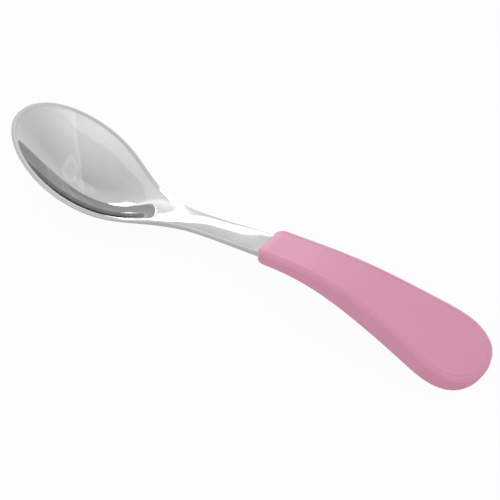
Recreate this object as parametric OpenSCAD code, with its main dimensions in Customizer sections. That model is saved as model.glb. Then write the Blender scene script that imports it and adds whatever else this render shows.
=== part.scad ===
// Baby spoon: a stamped and polished steel bowl, neck and tang, with a silicone grip moulded round the tang.
// It lies on a table as it is used: +X runs from the bowl to the handle's end, +Z is up, the table is z = 0.

/* [Overall] */
// Length from the tip of the bowl to the end of the handle
spoon_len = 145; // [138:0.5:152]

/* [Bowl] */
// Width of the bowl over its rim, at the widest place
bowl_w = 29.9; // [27:0.1:32]
// Distance from the tip to the widest place
bowl_widest = 20.3; // [18.5:0.1:22.5]
// Distance from the tip to where the shoulders have run out into the neck
bowl_run = 61.1; // [57:0.1:64]
// Depth of the hollow below the rim
bowl_depth = 8.2; // [6.8:0.1:9]
// Thickness of the steel under the hollow
floor_t = 1.1; // [0.9:0.05:1.4]
// Thickness of the rim at its edge
rim_t = 0.9; // [0.7:0.05:1.1]
// Width of the land that runs round the rim
land_w = 1.2; // [0.8:0.05:1.6]

/* [Neck] */
// Width of the neck where the shoulders end
neck_w = 7.3; // [6:0.1:7.7]
// Thickness of the neck and the tang
neck_t = 2.1; // [1.6:0.05:2.2]
// Height of the crown across the top of the neck
neck_crown = 0.45; // [0.2:0.05:0.6]
// Rounding of the long edges of the steel
edge_r = 0.3; // [0.15:0.05:0.35]

/* [Side line] */
// Slope at which the rim falls from the tip, in degrees
rim_angle = 22; // [18:0.1:24]
// Slope at which the neck springs from the bowl, in degrees
root_angle = 13.3; // [11:0.1:16]
// Slope at which the neck runs into the handle, in degrees
neck_angle = 7.8; // [5:0.1:9]
// Slope at which the handle falls to the table, in degrees
heel_angle = 14.5; // [12:0.1:16]
// Distance from the tip to the bend between bowl and neck
crank_x = 36.6; // [34:0.1:39]
// Softness of that bend
crank_soft = 3.1; // [2.3:0.1:4]
// Distance from the tip to where the neck flattens
root_x = 58.2; // [55:0.1:63]
// Softness of that flattening
root_soft = 1.8; // [1.4:0.1:3]
// Distance from the tip to the top of the handle's arch
arch_x = 100; // [94:0.5:106]
// Softness of the arch
arch_soft = 8; // [7:0.5:11]

/* [Tang] */
// Width of the tang inside the grip
tang_w = 7.9; // [7.4:0.1:8.2]
// Steel that stops short of the handle's end
tang_back = 9; // [7.5:0.5:14]
// Diameter of the anchor holes
anchor_d = 3.4; // [2.6:0.1:3.8]
// Number of anchor holes
anchor_count = 3; // [2:1:3]
// Where the first of them lies, as a share of the tang's length inside the grip
anchor_first_share = 0.24; // [0.16:0.01:0.28]
// Distance between their centres, as a share of the same length
anchor_pitch_share = 0.27; // [0.18:0.01:0.29]

/* [Grip] */
// Length of the silicone grip
grip_len = 64.2; // [58:0.2:66]
// Width of the grip at its front
grip_w = 11.6; // [11:0.1:13]
// Width that the flare would reach at the very end, before the end is rounded
heel_w = 27.3; // [24:0.1:29]
// Thickness of the grip at its front
grip_t = 4.1; // [4:0.1:4.8]
// Thickness of the grip where it is fullest
belly_t = 7.4; // [6.6:0.1:8.2]
// Thickness of the grip at the very end
heel_t = 3.2; // [3:0.1:4.4]
// Height of the grip's middle above the middle of the tang
grip_lift = 0.45; // [0:0.05:0.5]
// Length over which the end is rounded
heel_round = 15.4; // [13:0.1:20]
// Rounding along the grip's upper edges
grip_r = 1.5; // [1:0.1:1.7]
// Rounding along its lower edges
under_r = 0.8; // [0.5:0.1:0.9]
// Rounding of the front corners across the grip, seen from above
corner_r = 1.5; // [0.9:0.1:1.6]
// Length over which those corners are rounded
nose_len = 2.6; // [1.5:0.1:3.4]
// Rounding of the upper front edge, seen from the side
lip_r = 0.6; // [0.3:0.05:0.65]
// Gap between the tang and the silicone
fit_gap = 0.05; // [0.03:0.01:0.08]

/* [Hidden] */
half_w = bowl_w / 2;
neck_half = neck_w / 2;
tang_half = tang_w / 2;
grip_front = spoon_len - grip_len;
tang_end = spoon_len - tang_back;
// The tang ends in a half circle about this place
tang_turn = tang_end - tang_half;
heel_start = spoon_len - heel_round;
tang_inside = tang_end - grip_front;
// Part of the grip's straight outline that its rounded front takes up
nose_share = nose_len / (heel_start - grip_front);
// Silicone under the tang at the grip's front. A quarter of it is left to round the lower front edge.
layer_under = (grip_t - neck_t) / 2 - grip_lift;
under_lip = layer_under / 4;
// The anchor pegs reach into half of that layer
peg_h = neck_t + layer_under;
// Curvature where the shoulders leave the bowl, as a share of the bowl's own at its widest place
shoulder_share = 1.1;
// Fullness of the hollow across the bowl: 2 is a parabola, and more is a flatter floor
hollow_power = 2;
// Powers of the grip's flare and of its rounded end
flare_power = 2.25;
heel_power = 2.3;
// Place of the fullest section along the grip
belly_share = 0.68;
// Bowl run over which the hollow fades into the neck and the sheet grows to the neck's thickness
fade_from_share = 0.62;
fade_to_share = 0.98;
sheet_from_share = 0.55;
sheet_to_share = 0.95;
crown_from_share = 0.75;
// Softness of the crease between the land and the hollow, as an area
crease_area = land_w * half_w / 4;
// Points across the sheet, and stations along each stretch
across = 20;
tip_stations = 14;
bowl_stations = 22;
neck_stations = 10;
tang_stations = 13;
turn_stations = 5;
grip_stations = 22;
heel_stations = 9;
corner_steps = 4;
// Turns and stations with which the spoon is laid on the table
settle_turns = 6;
settle_stations = 60;

// Smooth rise from 0 to 1 with level ends
function ease(u) = let (v = min(max(u, 0), 1)) v * v * v * (v * (v * 6 - 15) + 10);

// Smooth rise of one run as x passes a bend
function soft(x, bend, r) = r * (ln(1 + exp((x - bend) / r)) - ln(1 + exp(-bend / r)));

// Side line: the rim, the root of the neck, the neck and the tang are four straight runs with soft bends
function run_line(x) = -tan(rim_angle) * x
    + (tan(rim_angle) + tan(root_angle)) * soft(x, crank_x, crank_soft)
    - (tan(root_angle) - tan(neck_angle)) * soft(x, root_x, root_soft)
    - (tan(neck_angle) + tan(heel_angle)) * soft(x, arch_x, arch_soft);

// Outline seen from above, from the widest place back: an S curve that takes over the bowl's curvature,
// a gentle flare up to the grip, and the tang
shoulder_run = bowl_run - bowl_widest;
shoulder_bend = shoulder_share * half_w / pow(bowl_widest, 2) * pow(shoulder_run, 2) / (half_w - neck_half);
function shoulder(u) = 1 - shoulder_bend / 2 * pow(u, 2)
    + (1.5 * shoulder_bend - 10) * pow(u, 3)
    + (15 - 1.5 * shoulder_bend) * pow(u, 4)
    + (0.5 * shoulder_bend - 6) * pow(u, 5);
function back_half(x) = x < bowl_run
    ? neck_half + (half_w - neck_half) * shoulder((x - bowl_widest) / shoulder_run)
    : neck_half + (tang_half - neck_half) * ease((x - bowl_run) / (grip_front - bowl_run));

// Place and half width on the steel's outline, moved inwards by inset. s runs from 0 at the tip to 1 at
// the widest place, 2 where the tang starts to turn and 3 at the tang's end.
function steel_outline(s, inset) =
    s < 1 ? [bowl_widest - (bowl_widest - inset) * cos(90 * s), (half_w - inset) * sin(90 * s)]
    : s < 2 ? let (x = bowl_widest + (tang_turn - bowl_widest) * (s - 1)) [x, back_half(x) - inset]
    : [tang_turn + (tang_half - inset) * sin(90 * (s - 2)), (tang_half - inset) * cos(90 * (s - 2))];

// Square of the half width of an outline that lies inset from the bowl's rim, below 0 outside it
function square_half(x, inset) = x < bowl_widest
    ? pow(half_w - inset, 2) * (1 - pow((bowl_widest - x) / (bowl_widest - inset), 2))
    : let (w = back_half(x) - inset) w * abs(w);

// Depth of a hollow at a point whose squared distance inside the outline is q
function hollow(q, full) = 1 - pow(max(1 - q / pow(full, 2), 0), hollow_power / 2);
function rounded(q) = (q + sqrt(pow(q, 2) + pow(crease_area, 2))) / 2;

// Sheet thickness at the edge, crown of the neck and fading of the hollow along the spoon
function sheet_t(x) = rim_t + (neck_t - rim_t)
    * ease((x / bowl_run - sheet_from_share) / (sheet_to_share - sheet_from_share));
function fading(x) = 1 - ease((x / bowl_run - fade_from_share) / (fade_to_share - fade_from_share));
function crown(x) = neck_crown
    * ease((x - crown_from_share * bowl_run) / ((1 - crown_from_share) * bowl_run))
    * (1 - ease((x - bowl_run) / (grip_front - bowl_run)));

// How far the upper and lower faces lie below the side line, at a distance y from the middle
function upper_drop(x, y) = fading(x) * bowl_depth
    * hollow(rounded(square_half(x, land_w) - y * y), half_w - land_w)
    + crown(x) * y * y / max(square_half(x, 0), pow(edge_r, 2));
function lower_drop(x, y) = sheet_t(x) + fading(x) * (bowl_depth + floor_t - rim_t)
    * hollow(max(square_half(x, edge_r) - y * y, 0), half_w - edge_r);

// Grip: its thickness, and its outline from above with s from 0 at the front to 1 where the end starts
// to round and 2 at the very end
function grip_thick(x) = let (t = (x - grip_front) / grip_len)
    t < belly_share ? grip_t + (belly_t - grip_t) * ease(t / belly_share)
    : belly_t - (belly_t - heel_t) * pow((t - belly_share) / (1 - belly_share), 2);
function flare_half(x) = grip_w / 2
    + (heel_w - grip_w) / 2 * pow(max(x - grip_front, 0) / grip_len, flare_power);
function grip_outline(s, inset) =
    s < 1 ? let (x = grip_front + (heel_start - grip_front) * s) [x, flare_half(x) - inset]
    : let (x = heel_start + (heel_round - inset) * pow(sin(90 * (s - 1)), 2 / heel_power))
      [x, (flare_half(x) - inset) * pow(cos(90 * (s - 1)), 2 / heel_power)];

// The spoon is laid on the table: the line through its two lowest places, one under the bowl and one
// under the grip, becomes level
function under(x) = run_line(x)
    - (x < grip_front ? lower_drop(x, 0) : (neck_t + grip_thick(x)) / 2 - grip_lift);
function lowest(from, to, slope) = min([for (i = [0 : settle_stations])
    let (x = from + (to - from) * i / settle_stations) under(x) - slope * x]);
function settled(slope, turns) = turns == 0 ? slope
    : settled(slope + (lowest(grip_front, spoon_len - under_r, slope) - lowest(0, bowl_run, slope))
        / (spoon_len - bowl_widest), turns - 1);
table_slope = settled(0, settle_turns);
table_level = lowest(0, bowl_run, table_slope);
function line(x) = run_line(x) - table_slope * x - table_level;
function tang_middle(x) = line(x) - neck_t / 2;
function grip_middle(x) = tang_middle(x) + grip_lift;

// A point of the part, from its distance behind the tip
function place(x, y, z) = [x - spoon_len / 2, y, z];

// Shares of the half width at which the sheet has points, closer together towards the rim
edge_shares = [for (j = [0 : across]) sin(180 * j / across - 90)];

// Section of the steel: across the top, round one edge, back across the bottom and round the other edge
function steel_section(s) =
    let (inner = steel_outline(s, edge_r), outer = steel_outline(s, 0))
    let (mid = line(outer[0]) - crown(outer[0]) / 2 - sheet_t(outer[0]) / 2)
    concat(
        [for (v = edge_shares) let (x = inner[0], y = v * inner[1]) place(x, y, line(x) - upper_drop(x, y))],
        [place(outer[0], outer[1], mid)],
        [for (v = edge_shares) let (x = inner[0], y = -v * inner[1]) place(x, y, line(x) - lower_drop(x, y))],
        [place(outer[0], -outer[1], mid)]);

// Places along the steel: closer together round the tip and along the bowl
function spread(from, to, count) = [for (i = [0 : count - 1]) from + (to - from) * i / count];
function steel_s(x) = 1 + (x - bowl_widest) / (tang_turn - bowl_widest);
tang_places = concat(
    spread(steel_s(grip_front), 2, tang_stations),
    spread(2, 3, turn_stations),
    [3]);
steel_places = concat(
    spread(0, 1, tip_stations),
    spread(1, steel_s(bowl_run), bowl_stations),
    spread(steel_s(bowl_run), steel_s(grip_front), neck_stations),
    tang_places);

function steel_sections() = [for (s = steel_places) steel_section(s)];

// Closed skin over sections of equal length. Points of one section that share a place are one point.
module skin(sections) {
    n = len(sections[0]);
    points = [for (section = sections) each section];
    ends = [0, len(sections) - 1];
    same = [for (i = [0 : len(sections) - 1]) [for (j = [0 : n - 1])
        (i == ends[0] || i == ends[1])
            ? i * n + [for (k = [0 : j]) if (sections[i][k] == sections[i][j]) k][0]
            : i * n + j]];
    faces = [for (i = [0 : ends[1] - 1]) for (j = [0 : n - 1])
        let (k = (j + 1) % n, a = same[i][j], b = same[i][k], c = same[i + 1][k], d = same[i + 1][j])
        for (face = [[a, b, c], [a, c, d]])
            if (face[0] != face[1] && face[1] != face[2] && face[2] != face[0]) face];
    polyhedron(points, faces);
}

// Places of the anchor holes
module at_anchors() {
    for (i = [0 : anchor_count - 1])
        let (x = grip_front + (anchor_first_share + i * anchor_pitch_share) * tang_inside)
            translate(place(x, 0, tang_middle(x))) children();
}

// Layers of the grip, round its lower edge and then round its upper edge: how far each lies inside the
// outline, the face that it belongs to, and how far it lies from that face
grip_layers = concat(
    [for (j = [0 : corner_steps]) let (a = 90 * j / corner_steps)
        [under_r * (1 - sin(a)), -1, under_r * (1 - cos(a))]],
    [for (j = [0 : corner_steps]) let (a = 90 * j / corner_steps)
        [grip_r * (1 - cos(a)), 1, grip_r * (1 - sin(a))]]);
function grip_point(at, layer, squeeze) = place(at[0], at[1],
    grip_middle(at[0]) + layer[1] * (grip_thick(at[0]) / 2 - layer[2] - squeeze));
function both_sides(half) = concat(half,
    [for (j = [len(half) - 1 : -1 : 0]) [half[j][0], -half[j][1], half[j][2]]]);
function grip_section(s) = both_sides([for (layer = grip_layers)
    grip_point(grip_outline(s, layer[0]), layer, 0)]);

// Rounded front: a runs from 0 where the rounding starts to 90 on the front face
function front_section(a) =
    let (x = grip_front + nose_len * (1 - sin(a)), w = flare_half(x) - corner_r * (1 - cos(a)))
    both_sides([for (layer = grip_layers)
        grip_point([x, w - layer[0]], layer, (layer[1] > 0 ? lip_r : under_lip) * (1 - cos(a)))]);

// Cavity: the tang's section with the fitting gap all round, in as many points as the grip's section
function cavity_section(s) =
    let (inner = steel_outline(s, edge_r), outer = steel_outline(s, 0))
    both_sides([for (j = [0 : 2 * corner_steps + 1])
        let (a = 90 * (j % (corner_steps + 1)) / corner_steps, up = j > corner_steps)
        let (side = up ? cos(a) : sin(a), rise = up ? sin(a) : cos(a))
        let (x = inner[0] + (outer[0] - inner[0]) * side, y = inner[1] + (outer[1] - inner[1]) * side)
        let (turn = max(s - 2, 0) * 90, thick = neck_t / 2 + fit_gap - edge_r * (1 - rise))
        place(x + fit_gap * sin(turn), y + fit_gap * cos(turn), tang_middle(x) + (up ? thick : -thick))]);

module steel_spoon() {
    color("silver") difference() {
        skin(steel_sections());
        at_anchors() cylinder(d = anchor_d, h = 2 * neck_t, center = true, $fn = 48);
    }
}

module silicone_grip() {
    color("palevioletred") union() {
        skin(concat(
            [for (i = [heel_stations : -1 : 1]) grip_section(1 + i / heel_stations)],
            [for (i = [grip_stations : -1 : 1])
                grip_section(nose_share + (1 - nose_share) * i / grip_stations)],
            [for (i = [0 : corner_steps]) front_section(90 * i / corner_steps)],
            [for (s = tang_places) cavity_section(s)]));
        at_anchors() cylinder(d = anchor_d - 2 * fit_gap, h = peg_h, center = true, $fn = 48);
    }
}

steel_spoon();
silicone_grip();
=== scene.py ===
"""Baby spoon: a polished steel bowl, neck and tang, with a pink silicone grip moulded on the tang.

Lengths are in millimetres, as in the part's source, until a mesh is made, and then in metres. A
place along the spoon is its distance x behind the tip of the bowl.
"""

import math

import bmesh
import bpy
import numpy as np
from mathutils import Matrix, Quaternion, Vector


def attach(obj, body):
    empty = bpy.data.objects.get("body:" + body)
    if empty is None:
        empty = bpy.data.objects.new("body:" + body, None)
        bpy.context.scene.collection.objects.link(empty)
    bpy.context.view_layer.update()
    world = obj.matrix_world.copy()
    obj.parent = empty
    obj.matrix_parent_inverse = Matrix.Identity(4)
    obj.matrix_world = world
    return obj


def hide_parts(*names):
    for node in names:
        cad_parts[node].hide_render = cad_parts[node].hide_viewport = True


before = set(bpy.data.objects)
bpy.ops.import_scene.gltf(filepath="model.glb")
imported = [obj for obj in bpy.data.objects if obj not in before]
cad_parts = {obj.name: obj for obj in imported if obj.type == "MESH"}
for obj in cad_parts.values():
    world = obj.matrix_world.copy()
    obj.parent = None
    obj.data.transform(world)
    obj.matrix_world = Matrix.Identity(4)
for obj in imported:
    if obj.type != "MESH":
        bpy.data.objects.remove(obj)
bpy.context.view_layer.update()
MM = 0.001

# Sizes of the spoon, the same as in the part's source. W is a width, T a thickness, D a diameter
# and R the radius of an edge.
SPOON_LEN = 145
BOWL_W, BOWL_WIDEST, BOWL_RUN, BOWL_DEPTH = 29.9, 20.3, 61.1, 8.2
FLOOR_T, RIM_T, LAND_W = 1.1, 0.9, 1.2
NECK_W, NECK_T, NECK_CROWN, EDGE_R = 7.3, 2.1, 0.45, 0.3
RIM_SLOPE, ROOT_SLOPE, NECK_SLOPE, HEEL_SLOPE = (
    math.tan(math.radians(angle)) for angle in (22, 13.3, 7.8, 14.5))
CRANK_X, ROOT_X, ARCH_X = 36.6, 58.2, 100
CRANK_SOFT, ROOT_SOFT, ARCH_SOFT = 3.1, 1.8, 8
TANG_W, TANG_BACK, ANCHOR_D, ANCHOR_COUNT = 7.9, 9, 3.4, 3
ANCHOR_FIRST_SHARE, ANCHOR_PITCH_SHARE = 0.24, 0.27
GRIP_LEN, GRIP_LIFT, NOSE_LEN, HEEL_ROUND = 64.2, 0.45, 2.6, 15.4
GRIP_W, HEEL_W = 11.6, 27.3
GRIP_T, BELLY_T, HEEL_T = 4.1, 7.4, 3.2
UNDER_R, CORNER_R, LIP_R, FIT_GAP = 0.8, 1.5, 0.6, 0.05
HOLLOW_POWER, FLARE_POWER, HEEL_POWER = 2, 2.25, 2.3
SHOULDER_SHARE, BELLY_SHARE = 1.1, 0.68

HALF_W, NECK_HALF, TANG_HALF = BOWL_W / 2, NECK_W / 2, TANG_W / 2
GRIP_FRONT = SPOON_LEN - GRIP_LEN
TANG_END = SPOON_LEN - TANG_BACK
TANG_TURN = TANG_END - TANG_HALF
# Silicone under the tang at the grip's front. The front's lower lip takes a quarter of it, and the
# pegs stand out of both sides of the tang by half of it.
UNDER_TANG = (GRIP_T - NECK_T) / 2 - GRIP_LIFT
UNDER_LIP = UNDER_TANG / 4
PEG_H = NECK_T + UNDER_TANG

# Finer than the source: polishing rounds the steel's edges a little more than the stamping leaves
# them, and rolls the neck's upper edges over by NECK_ROLL, which fades out over the last ROLL_OFF
# in front of the grip
POLISHED_EDGE, NECK_ROLL, ROLL_OFF = 0.42, 0.35, 3
# The grip's upper edge is tighter than in the source, a slightly flattened band between two fine
# beads. Its power is 2 for a round edge and 1 for a flat one. The bead at the mould's parting line
# is BEAD_H high, and the brim, the bead round the top, has a share of that.
BAND_R, BAND_POWER = 1.0, 1.8
BEAD_W, BEAD_H, BRIM_SHARE = 0.36, 0.17, 0.6

# Zones of the bowl's run, start and length in shares of it: where the hollow fades out, where the
# sheet gets thicker, and where the neck's crown and rolled edges set in
FADE, THICKEN, CROWNING = (0.62, 0.36), (0.55, 0.4), (0.75, 0.25)

# The side line's bends: change of slope, place and softness
BENDS = (
    (RIM_SLOPE + ROOT_SLOPE, CRANK_X, CRANK_SOFT),
    (NECK_SLOPE - ROOT_SLOPE, ROOT_X, ROOT_SOFT),
    (-NECK_SLOPE - HEEL_SLOPE, ARCH_X, ARCH_SOFT),
)

# Steps of the meshes: along each stretch of the steel, across its faces and round its edges, the
# same for the cavity, and for the grip along each stage and round each half of its section
TIP_STEPS, SHOULDER_STEPS, NECK_STEPS, TANG_STEPS, TURN_STEPS = 90, 130, 50, 40, 16
FACE_STEPS, EDGE_STEPS = 96, 6
CAVITY_STEPS, CAVITY_FACE_STEPS, CAVITY_EDGE_STEPS = 44, 24, 4
STAGE_STEPS, HALF_RING_STEPS, POST_SIDES = 56, 100, 64
# Doubles closer than DOUBLES_M and edges shorter than THIN_M, in metres, are taken out of every
# mesh, and the grip's skin first merges its own within SKIN_DOUBLES. Edges that bend by more than
# SHARP_DEGREES stay sharp.
DOUBLES_M, THIN_M, SKIN_DOUBLES = 1e-7, 1e-8, 0.002
SHARP_DEGREES = 50


def ease(u):
    """Smooth step from 0 to 1, level and without a bend at both ends."""
    v = np.clip(u, 0, 1)
    return v**3 * (v * (v * 6 - 15) + 10)


def bowl_ease(x, zone):
    """Smooth step over a zone of the bowl's run."""
    start, length = zone
    return ease((x / BOWL_RUN - start) / length)


def run_line(x):
    """Side line of the rim, the neck's top and the tang's top, before the spoon is laid down."""
    return -RIM_SLOPE * x + sum(
        change * soft * (np.logaddexp(0, (x - place) / soft) - np.logaddexp(0, -place / soft))
        for change, place, soft in BENDS)


SHOULDER_RUN = BOWL_RUN - BOWL_WIDEST
SHOULDER_BEND = (SHOULDER_SHARE * HALF_W / BOWL_WIDEST**2
                 * SHOULDER_RUN**2 / (HALF_W - NECK_HALF))


def back_half(x):
    """Half width of the steel behind the bowl's widest place: shoulders, neck and tang. The
    shoulders leave the widest place with SHOULDER_BEND and run into the neck without a bend."""
    u = np.clip((x - BOWL_WIDEST) / SHOULDER_RUN, 0, 1)
    shoulder = (1 - SHOULDER_BEND / 2 * u**2 + (1.5 * SHOULDER_BEND - 10) * u**3
                + (15 - 1.5 * SHOULDER_BEND) * u**4 + (0.5 * SHOULDER_BEND - 6) * u**5)
    widening = ease((x - BOWL_RUN) / (GRIP_FRONT - BOWL_RUN))
    neck = NECK_HALF + (TANG_HALF - NECK_HALF) * widening
    return np.where(x < BOWL_RUN, NECK_HALF + (HALF_W - NECK_HALF) * shoulder, neck)


def steel_outline(s, inset):
    """Place and half width on the steel's outline; s is 0 at the tip, 1 at the widest place, 2
    where the tang starts to turn and 3 at its end."""
    bowl, turn = (np.radians(90 * np.clip(s - start, 0, 1)) for start in (0, 2))
    x = np.where(s < 1, BOWL_WIDEST - (BOWL_WIDEST - inset) * np.cos(bowl),
                 np.where(s < 2, BOWL_WIDEST + (TANG_TURN - BOWL_WIDEST) * (s - 1),
                          TANG_TURN + (TANG_HALF - inset) * np.sin(turn)))
    half = np.where(s < 1, (HALF_W - inset) * np.sin(bowl),
                    np.where(s < 2, back_half(x) - inset, (TANG_HALF - inset) * np.cos(turn)))
    return x, half


def square_half(x, inset):
    """Square of the half width of an outline that lies inset from the rim, below 0 outside it."""
    half = back_half(x) - inset
    tip = (HALF_W - inset) ** 2 * (1 - ((BOWL_WIDEST - x) / (BOWL_WIDEST - inset)) ** 2)
    return np.where(x < BOWL_WIDEST, tip, half * np.abs(half))


def hollow(q, full):
    """Share of the hollow's depth. q is the outline's squared half width less y squared, so the
    share is 0 at the edge, and 1 where q is the square of the full half width."""
    return 1 - np.maximum(1 - q / full**2, 0) ** (HOLLOW_POWER / 2)


def upper_drop(x, y):
    """How far the upper face lies below the side line: the hollow inside its land, and the neck's
    crown and rolled edges."""
    q = square_half(x, LAND_W) - y * y
    land_soft = LAND_W * HALF_W / 4
    q = (q + np.sqrt(q**2 + land_soft**2)) / 2
    start = bowl_ease(x, CROWNING)
    crown = NECK_CROWN * start * (1 - ease((x - BOWL_RUN) / (GRIP_FRONT - BOWL_RUN)))
    roll = NECK_ROLL * start * (1 - ease((x - GRIP_FRONT) / ROLL_OFF + 1))
    u = np.minimum(y * y / np.maximum(square_half(x, 0), EDGE_R**2), 1)
    hollowed = (1 - bowl_ease(x, FADE)) * BOWL_DEPTH * hollow(q, HALF_W - LAND_W)
    return hollowed + crown * u + roll * u**4


def lower_drop(x, y):
    """How far the lower face lies below the side line."""
    q = np.maximum(square_half(x, EDGE_R) - y * y, 0)
    depth = (1 - bowl_ease(x, FADE)) * (BOWL_DEPTH + FLOOR_T - RIM_T)
    return RIM_T + (NECK_T - RIM_T) * bowl_ease(x, THICKEN) + depth * hollow(q, HALF_W - EDGE_R)


def grip_thick(x):
    """Thickness of the grip: a smooth rise to the belly, and a fall to the heel."""
    t =(x - GRIP_FRONT) / GRIP_LEN
    fall = np.maximum(t - BELLY_SHARE, 0) / (1 - BELLY_SHARE)
    return GRIP_T + (BELLY_T - GRIP_T) * ease(t / BELLY_SHARE) - (BELLY_T - HEEL_T) * fall**2


def underside(x):
    """Height of the spoon's underside along its middle, before the spoon is laid down."""
    grip =(NECK_T + grip_thick(x)) / 2 - GRIP_LIFT
    return run_line(x) - np.where(x < GRIP_FRONT, lower_drop(x, 0 * x), grip)


# The spoon is laid on the table: the line through its two lowest places becomes level, which a few
# corrections of its slope settle
SAG_POINTS, SLOPE_CORRECTIONS = 61, 6
UNDER_BOWL = np.linspace(0, BOWL_RUN, SAG_POINTS)
UNDER_GRIP = np.linspace(GRIP_FRONT, SPOON_LEN - UNDER_R, SAG_POINTS)
TABLE_SLOPE = 0.0
for correction in range(SLOPE_CORRECTIONS):
    sag = [(underside(x) - TABLE_SLOPE * x).min() for x in (UNDER_BOWL, UNDER_GRIP)]
    TABLE_SLOPE += (sag[1] - sag[0]) / (SPOON_LEN - BOWL_WIDEST)
TABLE_LEVEL = (underside(UNDER_BOWL) - TABLE_SLOPE * UNDER_BOWL).min()


def line(x):
    """Side line of the spoon as it lies on the table."""
    return run_line(x) - TABLE_SLOPE * x - TABLE_LEVEL


def add_object(name, data):
    """Puts a new object in the scene."""
    made =bpy.data.objects.new(name, data)
    bpy.context.scene.collection.objects.link(made)
    return made


def close_up(made):
    """Merges a mesh's doubles, drops faces without area and turns the rest outwards."""
    shell = bmesh.new()
    shell.from_mesh(made.data)
    bmesh.ops.remove_doubles(shell, verts=shell.verts, dist=DOUBLES_M)
    bmesh.ops.dissolve_degenerate(shell, edges=shell.edges, dist=THIN_M)
    bmesh.ops.recalc_face_normals(shell, faces=shell.faces)
    shell.to_mesh(made.data)
    shell.free()
    return made


def mesh_object(name, points, faces):
    """A mesh in metres from points in millimetres behind the tip, with 0 in the spoon's middle."""
    mesh = bpy.data.meshes.new(name)
    mesh.from_pydata(((np.asarray(points) - (SPOON_LEN / 2, 0, 0)) * MM).tolist(), [], faces)
    return close_up(add_object(name, mesh))


def settle_mesh(made):
    """Turns what the object's modifiers give into its plain mesh, and removes them."""
    evaluated = made.evaluated_get(bpy.context.evaluated_depsgraph_get())
    made.data = bpy.data.meshes.new_from_object(evaluated)
    made.modifiers.clear()
    return close_up(made)


def cut_or_join(made, tool, operation):
    """Cuts the tool out of a piece, or joins it on, and removes the tool."""
    modifier = made.modifiers.new(operation, "BOOLEAN")
    modifier.operation, modifier.solver, modifier.object = operation, "EXACT", tool
    bpy.context.view_layer.update()
    settle_mesh(made)
    bpy.data.objects.remove(tool)


def smooth(made):
    """Shades a piece smoothly, apart from its sharp edges."""
    made.data.polygons.foreach_set("use_smooth", [True] * len(made.data.polygons))
    made.data.set_sharp_from_angle(angle=math.radians(SHARP_DEGREES))


def steel_s(x):
    """Share s on the steel's outline of a place between the bowl's widest place and the turn."""
    return 1 + (x - BOWL_WIDEST) / (TANG_TURN - BOWL_WIDEST)


def stops(start, *legs):
    """Shares from start on, in equal steps over each leg, which is its end and its steps."""
    places = []
    for end, count in legs:
        places += list(np.linspace(start, end, count, endpoint=False))
        start = end
    return places + [start]


def sheet_mesh(name, places, across, turns, edge, grow=0.0):
    """Steel sheet lofted over its sections: the upper face, a rounded edge, the lower face and the
    other edge. edge is the rounding's radius, and grow makes the sheet larger all round."""
    v = np.sin(np.linspace(-math.pi / 2, math.pi / 2, across + 1))
    quarter = np.radians(np.linspace(0, 90, turns + 1))[1:]
    s = np.asarray(places, float)[:, None]
    spin = np.radians(90 * np.clip(s - 2, 0, 1))

    def face_z(x, y, upper, drops=0.0):
        """Height of a face that is grown outwards, and lies closer to the other by the drops."""
        return line(x) - (upper_drop(x, y) - grow + drops if upper
                          else lower_drop(x, y) + grow - drops)

    inner_x, inner_half = steel_outline(s, edge)
    insets, drops = edge * (1 - np.sin(quarter)), edge * (1 - np.cos(quarter))
    rows = []
    for side, upper in ((1, True), (-1, False)):
        y = side * v * inner_half
        x = inner_x + 0 * y
        rows.append(np.stack([x + grow * np.sin(spin), y + grow * np.cos(spin) * side * v,
                              face_z(x, y, upper)], -1))
        # The edge runs out from this face to its middle, and then in to the other face
        for order, face in ((slice(None), upper), (slice(None, None, -1), not upper)):
            x, half = steel_outline(s, insets[order][None, :])
            y = half * side
            rows.append(np.stack([x + grow * np.sin(spin), y + side * grow * np.cos(spin),
                                  face_z(x, y, face, drops[order])], -1))
    points = np.concatenate(rows, 1)
    count, ring = points.shape[:2]
    i, j = np.meshgrid(np.arange(count - 1), np.arange(ring), indexing="ij")
    k = (j + 1) % ring
    faces = np.stack([i * ring + j, i * ring + k, (i + 1) * ring + k, (i + 1) * ring + j], -1)
    # A sheet that doesn't start at the tip, where it closes by itself, gets an end face
    open_end = [list(range(ring))] if places[0] > 0 else []
    return mesh_object(name, points.reshape(-1, 3), faces.reshape(-1, 4).tolist() + open_end)


def feed(tree, node, inputs):
    """Gives a node its inputs, as values or as links."""
    for key, value in inputs.items():
        if isinstance(value, bpy.types.NodeSocket):
            tree.links.new(value, node.inputs[key])
        else:
            node.inputs[key].default_value = value


def put(tree, kind, inputs=None, **settings):
    """Adds one node with its settings, and its inputs as values or links. Returns its outputs."""
    added = tree.nodes.new(kind)
    for key, value in settings.items():
        setattr(added, key, value)
    feed(tree, added, inputs or {})
    return added.outputs


def linear(hex_colour):
    """sRGB hex to linear colour."""
    parts = [int(hex_colour[i:i + 2], 16) / 255 for i in (1, 3, 5)]
    return [p / 12.92 if p <= 0.04045 else ((p + 0.055) / 1.055) ** 2.4 for p in parts] + [1.0]


def new_tree(name, inputs):
    """A geometry node tree with named inputs, given with their kinds, and the inputs' sockets."""
    tree = bpy.data.node_groups.new(name, "GeometryNodeTree")
    tree.interface.new_socket("Geometry", in_out="INPUT", socket_type="NodeSocketGeometry")
    for key, kind in inputs.items():
        tree.interface.new_socket(key, in_out="INPUT", socket_type=kind)
    tree.interface.new_socket("Geometry", in_out="OUTPUT", socket_type="NodeSocketGeometry")
    return tree, tree.nodes.new("NodeGroupInput").outputs


def end_tree(tree, geometry, material):
    """Ends a geometry node tree: real geometry in its material."""
    real = put(tree, "GeometryNodeRealizeInstances", {"Geometry": geometry})[0]
    dressed = put(tree, "GeometryNodeSetMaterial", {"Geometry": real, "Material": material})[0]
    put(tree, "NodeGroupOutput", {"Geometry": dressed})


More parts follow.
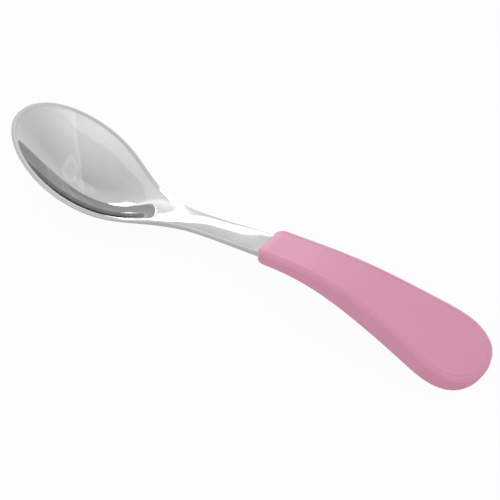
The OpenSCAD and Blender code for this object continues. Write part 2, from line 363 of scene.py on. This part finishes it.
def node_modifier(made, tree, values):
    """Runs a node tree on an object, its inputs set by their identifiers, and keeps the result."""
    modifier = made.modifiers.new(tree.name, "NODES")
    modifier.node_group = tree
    for item in tree.interface.items_tree:
        if item.in_out == "INPUT" and item.name in values:
            modifier[item.identifier] = values[item.name]
    return settle_mesh(made)


def new_material(name):
    """A material, its node tree, its shader and the place on the piece."""
    material = bpy.data.materials.new(name)
    material.use_nodes = True
    tree = material.node_tree
    return (material, tree, tree.nodes["Principled BSDF"],
            put(tree, "ShaderNodeTexCoord")["Object"])


# Stainless steel, stamped and then polished: nearly a mirror. The eye sees bright reflections of
# the studio that waver a little where the sheet isn't perfectly even, and a faint haze of
# polishing lines along the spoon.
def polished_stainless():
    # Polishing lines about 0.05 mm apart are too fine to show, so they are drawn 0.35 mm apart
    # and 20 mm long. The film of handling lies in patches of 9 mm, and the stamped sheet is
    # uneven over 7 mm.
    line_length, line_pitch, film_patch, uneven = 20, 0.35, 9, 7
    line_depth, uneven_depth = 0.0015, 0.02
    base_rough, line_rough, film_rough = 0.01, 0.06, 0.04
    material, tree, shader, place = new_material("polished_stainless_steel")
    along = put(tree, "ShaderNodeMapping", {
        "Vector": place, "Scale": (1 / line_length, 1 / line_pitch, 1 / line_pitch)})[0]
    lines = put(tree, "ShaderNodeTexNoise", {
        "Vector": along, "Scale": 1 / MM, "Detail": 3.0, "Roughness": 0.6})[0]
    film = put(tree, "ShaderNodeTexNoise", {
        "Vector": place, "Scale": 1 / (film_patch * MM), "Detail": 4.0})[0]
    sheet = put(tree, "ShaderNodeTexNoise", {
        "Vector": place, "Scale": 1 / (uneven * MM), "Detail": 1.0})[0]
    colour = put(tree, "ShaderNodeMix", {
        "Factor": film, "A": linear("#cbcbca"), "B": linear("#c3c3c2")}, data_type="RGBA")
    rough = put(tree, "ShaderNodeMath", {0: lines, 1: line_rough, 2: base_rough},
                operation="MULTIPLY_ADD")[0]
    rough = put(tree, "ShaderNodeMath", {0: film, 1: film_rough, 2: rough},
                operation="MULTIPLY_ADD")[0]
    wave = put(tree, "ShaderNodeBump", {
        "Height": sheet, "Strength": 0.5, "Distance": uneven_depth * MM})[0]
    bump = put(tree, "ShaderNodeBump", {
        "Height": lines, "Strength": 0.25, "Distance": line_depth * MM, "Normal": wave})[0]
    feed(tree, shader, {
        "Base Color": colour["Result"], "Roughness": rough, "Normal": bump, "Metallic": 1.0,
        "Specular Tint": linear("#ececec")})
    return material


# Liquid silicone rubber, moulded in a fine spark-eroded mould: soft satin, slightly translucent at
# its edges, with a colour that varies very gently and a fine even texture.
def moulded_silicone():
    # Clouds of pigment are about 12 mm wide. The mould's texture, about 0.1 mm, is too fine to
    # show, so it is drawn 0.4 mm wide.
    cloud, grain_w, grain_depth = 12, 0.4, 0.02
    base_rough, grain_rough = 0.34, 0.1
    material, tree, shader, place = new_material("moulded_silicone_rubber")
    clouds = put(tree, "ShaderNodeTexNoise", {
        "Vector": place, "Scale": 1 / (cloud * MM), "Detail": 3.0})[0]
    grain = put(tree, "ShaderNodeTexNoise", {
        "Vector": place, "Scale": 1 / (grain_w * MM), "Detail": 2.0, "Roughness": 0.6})[0]
    colour = put(tree, "ShaderNodeMix", {
        "Factor": clouds, "A": linear("#d491ad"), "B": linear("#ce8aa6")}, data_type="RGBA")
    rough = put(tree, "ShaderNodeMath", {0: grain, 1: grain_rough, 2: base_rough},
                operation="MULTIPLY_ADD")[0]
    bump = put(tree, "ShaderNodeBump", {
        "Height": grain, "Strength": 0.3, "Distance": grain_depth * MM})[0]
    feed(tree, shader, {
        "Base Color": colour["Result"], "Roughness": rough, "Normal": bump, "IOR": 1.45,
        "Subsurface Weight": 0.12, "Subsurface Radius": (1.0, 0.45, 0.5),
        "Subsurface Scale": 1.2 * MM, "Sheen Weight": 0.3, "Sheen Roughness": 0.4})
    return material


STEEL, SILICONE = polished_stainless(), moulded_silicone()

# Anchor holes and the pegs in them: a round post on each point of a row
anchor_tree, anchor_given = new_tree("anchor_row", {
    "Diameter": "NodeSocketFloat", "Height": "NodeSocketFloat", "Material": "NodeSocketMaterial"})
radius, height = (
    put(anchor_tree, "ShaderNodeMath", {0: anchor_given[key], 1: scale}, operation="MULTIPLY")[0]
    for key, scale in (("Diameter", MM / 2), ("Height", MM)))
post = put(anchor_tree, "GeometryNodeMeshCylinder", {
    "Vertices": POST_SIDES, "Radius": radius, "Depth": height})["Mesh"]
posts = put(anchor_tree, "GeometryNodeInstanceOnPoints", {
    "Points": anchor_given["Geometry"], "Instance": post})[0]
end_tree(anchor_tree, posts, anchor_given["Material"])


def anchor_row(name, diameter, height, material):
    """The row of posts in the middle of the tang's sheet."""
    share = ANCHOR_FIRST_SHARE + ANCHOR_PITCH_SHARE * np.arange(ANCHOR_COUNT)
    x = GRIP_FRONT + share * (TANG_END - GRIP_FRONT)
    made = mesh_object(name, np.stack([x, 0 * x, line(x) - NECK_T / 2], -1), [])
    return node_modifier(made, anchor_tree, {
        "Diameter": diameter, "Height": height, "Material": material})


# Steel spoon
spoon_places = stops(
    0, (1, TIP_STEPS), (steel_s(BOWL_RUN), SHOULDER_STEPS), (steel_s(GRIP_FRONT), NECK_STEPS),
    (2, TANG_STEPS), (3, TURN_STEPS))
spoon = sheet_mesh("steel_spoon_stamping", spoon_places, FACE_STEPS, EDGE_STEPS, POLISHED_EDGE)
spoon.data.materials.append(STEEL)
cut_or_join(spoon, anchor_row("anchor_drill", ANCHOR_D, 2 * NECK_T, STEEL), "DIFFERENCE")

# Silicone grip. The rule below turns a flat grid into its skin: one way of the grid runs from the
# middle of the front face over the rounded front corners, the flare and the rounded end, and the
# other runs round the section, from the middle of the lower face to the middle of the upper face.
STAGES = {"cap": (-1, -1.25), "corner": (0, -1), "flare": (0, 1), "heel": (1, 2)}
ZONES = {
    "lower face": (0, 0.2), "lower edge": (0.2, 0.34), "side": (0.34, 0.44),
    "parting line": (0.44, 0.5), "band": (0.5, 0.68), "brim": (0.68, 0.74),
    "upper face": (0.74, 1)}
QUARTER_TURNS = ("lower edge", "parting line", "band", "brim", "corner", "heel")
GRID_START, GRID_END = STAGES["cap"][1], STAGES["heel"][1]
GRID_LEN = GRID_END - GRID_START
grip_sizes = {
    "Spoon length": SPOON_LEN, "Grip length": GRIP_LEN, "Nose length": NOSE_LEN,
    "Front width": GRIP_W, "Heel width": HEEL_W, "Flare power": FLARE_POWER,
    "Front thickness": GRIP_T, "Belly thickness": BELLY_T, "Heel thickness": HEEL_T,
    "Belly share": BELLY_SHARE, "Heel rounding": HEEL_ROUND, "Heel power": HEEL_POWER,
    "Corner rounding": CORNER_R, "Upper lip": LIP_R, "Lower lip": UNDER_LIP,
    "Lower edge rounding": UNDER_R, "Band rounding": BAND_R, "Band power": BAND_POWER,
    "Bead width": BEAD_W, "Bead height": BEAD_H, "Middle below line": NECK_T / 2 - GRIP_LIFT,
}
# Each row is a value's name, the operation that makes it and its terms. A name that comes again is
# worked out further.
GRIP_RULE = (
    # Inset from the outline, and distance from the lower and upper faces, round the edges. The
    # halves of the mould meet in a fine bead round the side, over it the edge is a flattened
    # band, and a second bead rims the top.
    ("roundness", "DIVIDE", 2.0, "Band power"),
    ("band in", "POWER", "band cosine", "roundness"),
    ("band in", "SUBTRACT", 1.0, "band in"),
    ("band down", "POWER", "band sine", "roundness"),
    ("band down", "SUBTRACT", 1.0, "band down"),
    ("below", "SUBTRACT", 1.0, "parting line"),
    ("inset", "MULTIPLY", "Lower edge rounding", "lower edge 1-sine"),
    ("bead", "MULTIPLY", "parting line sine", "parting line cosine"),
    ("bead", "MULTIPLY_ADD", "bead", -2.0, 1.0),
    ("inset", "MULTIPLY_ADD", "Bead height", "bead", "inset"),
    ("inset", "MULTIPLY_ADD", "Band rounding", "band in", "inset"),
    ("inset", "MULTIPLY_ADD", "Bead width", "brim", "inset"),
    ("low", "MULTIPLY", "Lower edge rounding", "lower edge 1-cosine"),
    ("low", "MULTIPLY_ADD", "Lower lip", "corner 1-cosine", "low"),
    ("high", "MULTIPLY", "Band rounding", "band down"),
    ("high", "MULTIPLY_ADD", "Bead width", "below", "high"),
    ("bead", "MULTIPLY", "brim sine", "brim cosine"),
    ("bead", "MULTIPLY", "bead", "corner 1-sine"),
    ("bead", "MULTIPLY", "bead", -2 * BRIM_SHARE),
    ("high", "MULTIPLY_ADD", "Bead height", "bead", "high"),
    ("high", "MULTIPLY_ADD", "Upper lip", "corner 1-cosine", "high"),
    # Place along the spoon
    ("front", "SUBTRACT", "Spoon length", "Grip length"),
    ("run", "SUBTRACT", "Grip length", "Heel rounding"),
    ("run", "SUBTRACT", "run", "Nose length"),
    ("x", "MULTIPLY_ADD", "Nose length", "corner 1-sine", "front"),
    ("x", "MULTIPLY_ADD", "run", "flare", "x"),
    ("reach", "SUBTRACT", "Heel rounding", "inset"),
    ("bulge", "DIVIDE", 2.0, "Heel power"),
    ("heel out", "POWER", "heel sine", "bulge"),
    ("heel in", "POWER", "heel cosine", "bulge"),
    ("x", "MULTIPLY_ADD", "reach", "heel out", "x"),
    ("t", "SUBTRACT", "x", "front"),
    ("t", "DIVIDE", "t", "Grip length"),
    ("t", "MAXIMUM", "t", 0.0),
    # Half width
    ("widening", "SUBTRACT", "Heel width", "Front width"),
    ("widening", "MULTIPLY", "widening", 0.5),
    ("half", "MULTIPLY", "Front width", 0.5),
    ("flaring", "POWER", "t", "Flare power"),
    ("half", "MULTIPLY_ADD", "widening", "flaring", "half"),
    ("half", "SUBTRACT", "half", "inset"),
    ("pull", "MULTIPLY", "Corner rounding", "corner 1-cosine"),
    ("half", "SUBTRACT", "half", "pull"),
    ("half", "MULTIPLY", "half", "heel in"),
    ("across", "SUBTRACT", 1.0, "upper face"),
    ("across", "MINIMUM", "across", "lower face"),
    ("open", "SUBTRACT", 1.0, "cap"),
    ("y", "MULTIPLY", "half", "across"),
    ("y", "MULTIPLY", "y", "open"),
    ("y", "MULTIPLY", "y", "side sign"),
    # Thickness: a smooth rise to the belly, and a fall to the heel
    ("rise", "DIVIDE", "t", "Belly share"),
    ("rise", "MINIMUM", "rise", 1.0),
    ("ease", "MULTIPLY_ADD", "rise", 6.0, -15.0),
    ("ease", "MULTIPLY_ADD", "ease", "rise", 10.0),
    ("cube", "POWER", "rise", 3.0),
    ("ease", "MULTIPLY", "ease", "cube"),
    ("gain", "SUBTRACT", "Belly thickness", "Front thickness"),
    ("thick", "MULTIPLY_ADD", "gain", "ease", "Front thickness"),
    ("past", "SUBTRACT", "t", "Belly share"),
    ("past", "MAXIMUM", "past", 0.0),
    ("left", "SUBTRACT", 1.0, "Belly share"),
    ("past", "DIVIDE", "past", "left"),
    ("past", "MULTIPLY", "past", "past"),
    ("loss", "SUBTRACT", "Heel thickness", "Belly thickness"),
    ("thick", "MULTIPLY_ADD", "loss", "past", "thick"),
    ("thick", "MULTIPLY", "thick", 0.5),
    # Height over the middle
    ("low", "SUBTRACT", "low", "thick"),
    ("high", "SUBTRACT", "thick", "high"),
    ("span", "SUBTRACT", "high", "low"),
    ("z", "MULTIPLY_ADD", "span", "side", "low"),
    ("z", "MULTIPLY", "z", "open"),
    ("z", "SUBTRACT", "z", "Middle below line"),
    # Side line: its first slope and its level, and then its bends below
    ("z", "MULTIPLY_ADD", "x", -RIM_SLOPE - TABLE_SLOPE, "z"),
    ("z", "ADD", "z", -TABLE_LEVEL - sum(
        change * soft * math.log1p(math.exp(-place / soft)) for change, place, soft in BENDS)),
) + tuple(row for change, place, soft in BENDS for row in (
    ("bend", "MULTIPLY_ADD", "x", 1 / soft, -place / soft),
    ("bend", "EXPONENT", "bend"),
    ("bend", "ADD", "bend", 1.0),
    ("bend", "LOGARITHM", "bend", math.e),
    ("z", "MULTIPLY_ADD", "bend", change * soft, "z"),
)) + (("x", "SUBTRACT", "x", SPOON_LEN / 2),)

grip_tree, grip_given = new_tree("silicone_grip_skin", dict.fromkeys(grip_sizes, "NodeSocketFloat"))
grid = put(grip_tree, "GeometryNodeMeshGrid", {
    "Size X": GRID_LEN, "Size Y": 2.0, "Vertices X": int(GRID_LEN * STAGE_STEPS) + 1,
    "Vertices Y": 2 * HALF_RING_STEPS + 1})["Mesh"]
spot = put(grip_tree, "ShaderNodeSeparateXYZ", {
    0: put(grip_tree, "GeometryNodeInputPosition")[0]})
at = {key: grip_given[key] for key in grip_sizes}
for name, operation, *terms in (("along", "ADD", spot["X"], (GRID_START + GRID_END) / 2),
                                ("round", "ABSOLUTE", spot["Y"]),
                                ("side sign", "SIGN", spot["Y"])):
    at[name] = put(grip_tree, "ShaderNodeMath", dict(enumerate(terms)), operation=operation)[0]
# How far each stage and zone has run, from 0 to 1
for source, parts in (("along", STAGES), ("round", ZONES)):
    for name, (start, end) in parts.items():
        at[name] = put(grip_tree, "ShaderNodeMath", {
            0: at[source], 1: 1 / (end - start), 2: -start / (end - start)},
            operation="MULTIPLY_ADD", use_clamp=True)[0]
# Sine and cosine over the quarter turns, never below 0
for name in QUARTER_TURNS:
    angle = put(grip_tree, "ShaderNodeMath", {0: at[name], 1: math.pi / 2},
                operation="MULTIPLY")[0]
    for function in ("sine", "cosine"):
        value = put(grip_tree, "ShaderNodeMath", {0: angle}, operation=function.upper())[0]
        at[f"{name} {function}"] = put(grip_tree, "ShaderNodeMath", {0: value, 1: 0.0},
                                       operation="MAXIMUM")[0]
for name in ("lower edge", "corner"):
    for function in ("sine", "cosine"):
        at[f"{name} 1-{function}"] = put(grip_tree, "ShaderNodeMath", {
            0: 1.0, 1: at[f"{name} {function}"]}, operation="SUBTRACT")[0]
for name, operation, *terms in GRIP_RULE:
    at[name] = put(grip_tree, "ShaderNodeMath", {
        i: at.get(term, term) for i, term in enumerate(terms)}, operation=operation)[0]
spot = put(grip_tree, "ShaderNodeCombineXYZ", {"X": at["x"], "Y": at["y"], "Z": at["z"]})[0]
spot = put(grip_tree, "ShaderNodeVectorMath", {0: spot, "Scale": MM}, operation="SCALE")[0]
skin = put(grip_tree, "GeometryNodeSetPosition", {"Geometry": grid, "Position": spot})[0]
skin = put(grip_tree, "GeometryNodeMergeByDistance", {
    "Geometry": skin, "Distance": SKIN_DOUBLES * MM})[0]
end_tree(grip_tree, skin, SILICONE)

grip = node_modifier(
    mesh_object("silicone_grip_moulding", [(0, 0, 0)], []), grip_tree, grip_sizes)
# The cavity is the tang, larger by the fitting gap, and it runs out through the front face
CUT_PAST = 1
cavity_places = stops(steel_s(GRIP_FRONT - CUT_PAST), (2, CAVITY_STEPS), (3, TURN_STEPS))
cavity = sheet_mesh(
    "tang_core", cavity_places, CAVITY_FACE_STEPS, CAVITY_EDGE_STEPS, EDGE_R, FIT_GAP)
cut_or_join(grip, cavity, "DIFFERENCE")
pegs = anchor_row("anchor_pegs", ANCHOR_D - 2 * FIT_GAP, PEG_H, SILICONE)
cut_or_join(grip, pegs, "UNION")

for piece, node, slot, material in ((spoon, "steel_spoon", "polished_steel", STEEL),
                                    (grip, "silicone_grip", "pink_silicone", SILICONE)):
    smooth(piece)
    piece.data.materials.clear()
    piece.data.materials.append(material)
    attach(piece, "root")
    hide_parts(node)


def towards(azimuth, elevation):
    """Direction in degrees: azimuth 0 is straight back, and grows to the right."""
    azimuth, elevation = math.radians(azimuth), math.radians(elevation)
    return Vector((math.sin(azimuth) * math.cos(elevation),
                   math.cos(azimuth) * math.cos(elevation), math.sin(elevation)))


# Camera: the photograph's direction and distance, looking at a place on the table. Its lens is as
# long as PHOTO_FOCUS in pixels of a picture that is PHOTO_WIDTH wide.
PHOTO_AZIMUTH, PHOTO_ELEVATION, PHOTO_DISTANCE = 35.25, 40.52, 549.3
PHOTO_FOCUS, PHOTO_WIDTH, SENSOR_W = 2099.53, 500, 36
LOOK_AT = Vector((70.77 - SPOON_LEN / 2, 6.39, 0)) * MM
camera_way = towards(180 - PHOTO_AZIMUTH, PHOTO_ELEVATION)
camera = add_object("camera", bpy.data.cameras.new("camera"))
camera.location = LOOK_AT + camera_way * PHOTO_DISTANCE * MM
camera.rotation_euler = camera_way.to_track_quat("Z", "Y").to_euler()
camera.data.sensor_width = SENSOR_W
camera.data.lens = PHOTO_FOCUS / PHOTO_WIDTH * SENSOR_W
camera.data.clip_start = 0.01
bpy.context.scene.camera = camera

# Pale floor, 6 m across, of matt paper whose fibres lie in clumps of 3 mm. The camera sees it
# mostly, and steel and glass see it partly, as plain white. The rest keeps the spoon's shadow.
FLOOR_HALF_M, FIBRE_CLUMP = 3, 3
SEEN_WHITE, MIRRORED_WHITE = 0.95, 0.3
floor_mesh = bpy.data.meshes.new("floor")
floor_mesh.from_pydata([(x * FLOOR_HALF_M, y * FLOOR_HALF_M, 0) for x, y in (
    (-1, -1), (1, -1), (1, 1), (-1, 1))], [], [(0, 1, 2, 3)])
floor = add_object("floor", floor_mesh)
paper = bpy.data.materials.new("matt_white_paper")
paper.use_nodes = True
tree = paper.node_tree
tree.nodes.clear()
fibres = put(tree, "ShaderNodeTexNoise", {
    "Vector": put(tree, "ShaderNodeTexCoord")["Object"], "Scale": 1 / (FIBRE_CLUMP * MM)})[0]
colour = put(tree, "ShaderNodeMix", {
    "Factor": fibres, "A": linear("#dadada"), "B": linear("#d6d6d6")}, data_type="RGBA")
diffuse = put(tree, "ShaderNodeBsdfDiffuse", {"Color": colour["Result"]})[0]
white = put(tree, "ShaderNodeEmission", {"Strength": 1.0})[0]
path = put(tree, "ShaderNodeLightPath")
share = put(tree, "ShaderNodeMath", {
    0: path["Is Glossy Ray"], 1: path["Is Transmission Ray"]}, operation="MAXIMUM")[0]
share = put(tree, "ShaderNodeMath", {0: share, 1: MIRRORED_WHITE}, operation="MULTIPLY")[0]
share = put(tree, "ShaderNodeMath", {0: path["Is Camera Ray"], 1: SEEN_WHITE, 2: share},
            operation="MULTIPLY_ADD")[0]
surface = put(tree, "ShaderNodeMixShader", {0: share, 1: diffuse, 2: white})[0]
put(tree, "ShaderNodeOutputMaterial", {"Surface": surface})
floor.data.materials.append(paper)

# Studio tent: a roof, a front and a right cloth of slightly different white, whose seams show in
# the polished bowl. Each row is a value's name, what makes it and its terms, as in the grip's rule.
# TOWARDS is the view's dot product with a direction, and RAMP takes a value, where the ramp starts
# and ends, and how high it gets. The level is the tent's brightness, where 1 is white.
TENT_RULE = (
    # Brighter low down and in front, and darkest behind on the right
    ("level", "TOWARDS", "view", (0, -0.20, -0.385)),
    ("level", "ADD", "level", 1.20),
    ("corner", "MULTIPLY", "X", "Y"),
    ("level", "MULTIPLY_ADD", "corner", -0.29, "level"),
    # Brighter over the softbox
    ("glow", "TOWARDS", "view", (-0.526, 0.526, 0.669)),
    ("glow", "RAMP", "glow", 0.85, 1.0, 0.08),
    ("level", "ADD", "level", "glow"),
    # A lighter panel in the roof behind, which the rim's land mirrors
    ("panel", "TOWARDS", "view", (0.0, 0.616, 0.788)),
    ("panel", "RAMP", "panel", 0.965, 0.99, 0.17),
    ("level", "ADD", "level", "panel"),
    # The softbox hangs before a lighter backing, which ends at the softbox's upper edge and fades
    # out towards the table
    ("backing", "TOWARDS", "view", (-0.804, 0.595, 0)),
    ("backing", "RAMP", "backing", 0.84, 0.9, 1.0),
    ("fade", "RAMP", "Z", 0.22, 0.45, 0.65),
    ("below top", "RAMP", "Z", 0.56, 0.5, 1.0),
    ("fade", "MULTIPLY", "fade", "below top"),
    ("level", "MULTIPLY_ADD", "backing", "fade", "level"),
    # A narrow white card leans against it, and makes the white line along the near edge where the
    # neck starts
    ("card", "TOWARDS", "view", (0.699, 0.667, 0.258)),
    ("card", "ABSOLUTE", "card"),
    ("card", "RAMP", "card", 0.055, 0.035, 1.3),
    ("foot", "RAMP", "Z", 0.06, 0.1, 1.0),
    ("card", "MULTIPLY", "card", "foot"),
    ("card", "MULTIPLY", "card", "below top"),
    ("level", "MULTIPLY_ADD", "backing", "card", "level"),
    # From here on places are taken on a roof 1 high. The front cloth has an arched upper edge.
    ("up", "MAXIMUM", "Z", 0.02),
    ("roof x", "DIVIDE", "X", "up"),
    ("roof y", "DIVIDE", "Y", "up"),
    ("arch", "MULTIPLY", "roof x", "roof x"),
    ("arch", "MULTIPLY_ADD", "arch", -0.4, "roof y"),
    ("arch", "MULTIPLY_ADD", "folds", 0.5, "arch"),
    ("front cloth", "RAMP", "arch", -0.62, -0.68, 0.14),
    ("level", "ADD", "level", "front cloth"),
    # The right cloth has a slanted one with a bright seam
    ("slant", "MULTIPLY_ADD", "roof y", 0.5, "roof x"),
    ("slant", "MULTIPLY_ADD", "folds", 0.2, "slant"),
    ("right cloth", "RAMP", "slant", 0.56, 0.64, 0.1),
    ("level", "ADD", "level", "right cloth"),
    ("seam", "SUBTRACT", "slant", 0.6),
    ("seam", "ABSOLUTE", "seam"),
    ("seam", "RAMP", "seam", 0.07, 0.0, 0.13),
    ("level", "ADD", "level", "seam"),
    # Where the seam ends the cloth is gathered into a lobe with a bright rim: a leaning oval with
    # half axes of about 0.15 and 0.8 round (0.58, 1)
    ("lean", "MULTIPLY_ADD", "roof y", 0.2, "roof x"),
    ("lean", "MULTIPLY_ADD", "lean", 1 / 0.15, -0.58 / 0.15),
    ("reach", "MULTIPLY_ADD", "roof y", 1 / 0.8, -1.0 / 0.8),
    ("lobe", "MULTIPLY", "lean", "lean"),
    ("lobe", "MULTIPLY_ADD", "reach", "reach", "lobe"),
    ("lobe", "SQRT", "lobe"),
    ("lobe", "MULTIPLY_ADD", "folds", 0.6, "lobe"),
    ("rim", "SUBTRACT", "lobe", 1.3),
    ("rim", "ABSOLUTE", "rim"),
    ("rim", "RAMP", "rim", 0.25, 0.0, 0.13),
    ("lobe", "RAMP", "lobe", 1.4, 1.2, 0.08),
    ("level", "ADD", "level", "lobe"),
    ("level", "ADD", "level", "rim"),
    # All the cloth hangs in soft folds
    ("level", "MULTIPLY_ADD", "folds", 0.16, "level"),
    ("level", "SUBTRACT", "level", 0.08),
    # The tent is open low down in front, where the camera stands, and darker there, most of all on
    # the right
    ("low front", "MULTIPLY_ADD", "Z", 0.8, "Y"),
    ("low front", "RAMP", "low front", -0.25, -0.65, 0.36),
    ("level", "SUBTRACT", "level", "low front"),
    ("opening", "TOWARDS", "view", (0.75, -0.5, -0.43)),
    ("opening", "RAMP", "opening", 0.35, 0.8, 0.6),
    ("level", "SUBTRACT", "level", "opening"),
)
# What isn't a plain operation on numbers: its node, the inputs for its terms, its output and its
# settings
TENT_KINDS = {
    "TOWARDS": ("ShaderNodeVectorMath", (0, 1), "Value", {"operation": "DOT_PRODUCT"}),
    "RAMP": ("ShaderNodeMapRange", ("Value", "From Min", "From Max", "To Max"), "Result", {}),
}
FOLDS_PER_UNIT = 2.6

world = bpy.data.worlds.new("studio_tent")
bpy.context.scene.world = world
world.use_nodes = True
tree = world.node_tree
tree.nodes.clear()
view = put(tree, "ShaderNodeTexCoord")["Generated"]
parts = put(tree, "ShaderNodeSeparateXYZ", {0: view})
tent = {"view": view, "X": parts["X"], "Y": parts["Y"], "Z": parts["Z"]}
tent["folds"] = put(tree, "ShaderNodeTexNoise", {
    "Vector": view, "Scale": FOLDS_PER_UNIT, "Detail": 2.0})[0]
for name, operation, *terms in TENT_RULE:
    kind, keys, output, settings = TENT_KINDS.get(
        operation, ("ShaderNodeMath", (0, 1, 2), "Value", {"operation": operation}))
    inputs = {key: tent.get(term, term) for key, term in zip(keys, terms)}
    tent[name] = put(tree, kind, inputs, **settings)[output]
cloth = put(tree, "ShaderNodeBackground", {
    "Color": linear("#ffffff"), "Strength": tent["level"]})[0]
white = put(tree, "ShaderNodeBackground", {"Color": linear("#ffffff"), "Strength": 1.0})[0]
seen = put(tree, "ShaderNodeLightPath")["Is Camera Ray"]
surface = put(tree, "ShaderNodeMixShader", {0: seen, 1: cloth, 2: white})[0]
put(tree, "ShaderNodeOutputWorld", {"Surface": surface})

# A low softbox behind the spoon makes the white band on the neck and at the back of the bowl. It is
# rolled so that its left end is higher. Its radiance is low, so that its image in the steel keeps
# soft edges.
SOFTBOX_AZIMUTH, SOFTBOX_ELEVATION, SOFTBOX_ROLL = -46, 27.7, 22
SOFTBOX_DISTANCE_M, SOFTBOX_RADIANCE = 1.8, 3.6
softbox_way = towards(SOFTBOX_AZIMUTH, SOFTBOX_ELEVATION)
roll = Quaternion((0, 0, 1), math.radians(SOFTBOX_ROLL))
softbox = add_object("back_softbox", bpy.data.lights.new("back_softbox", "AREA"))
softbox.location = softbox_way * SOFTBOX_DISTANCE_M
softbox.rotation_euler = (softbox_way.to_track_quat("Z", "Y") @ roll).to_euler()
softbox.data.shape = "RECTANGLE"
softbox.data.size, softbox.data.size_y = 0.97, 0.31
softbox.data.energy = SOFTBOX_RADIANCE * math.pi * softbox.data.size * softbox.data.size_y

bpy.context.scene.view_settings.view_transform = "Standard"
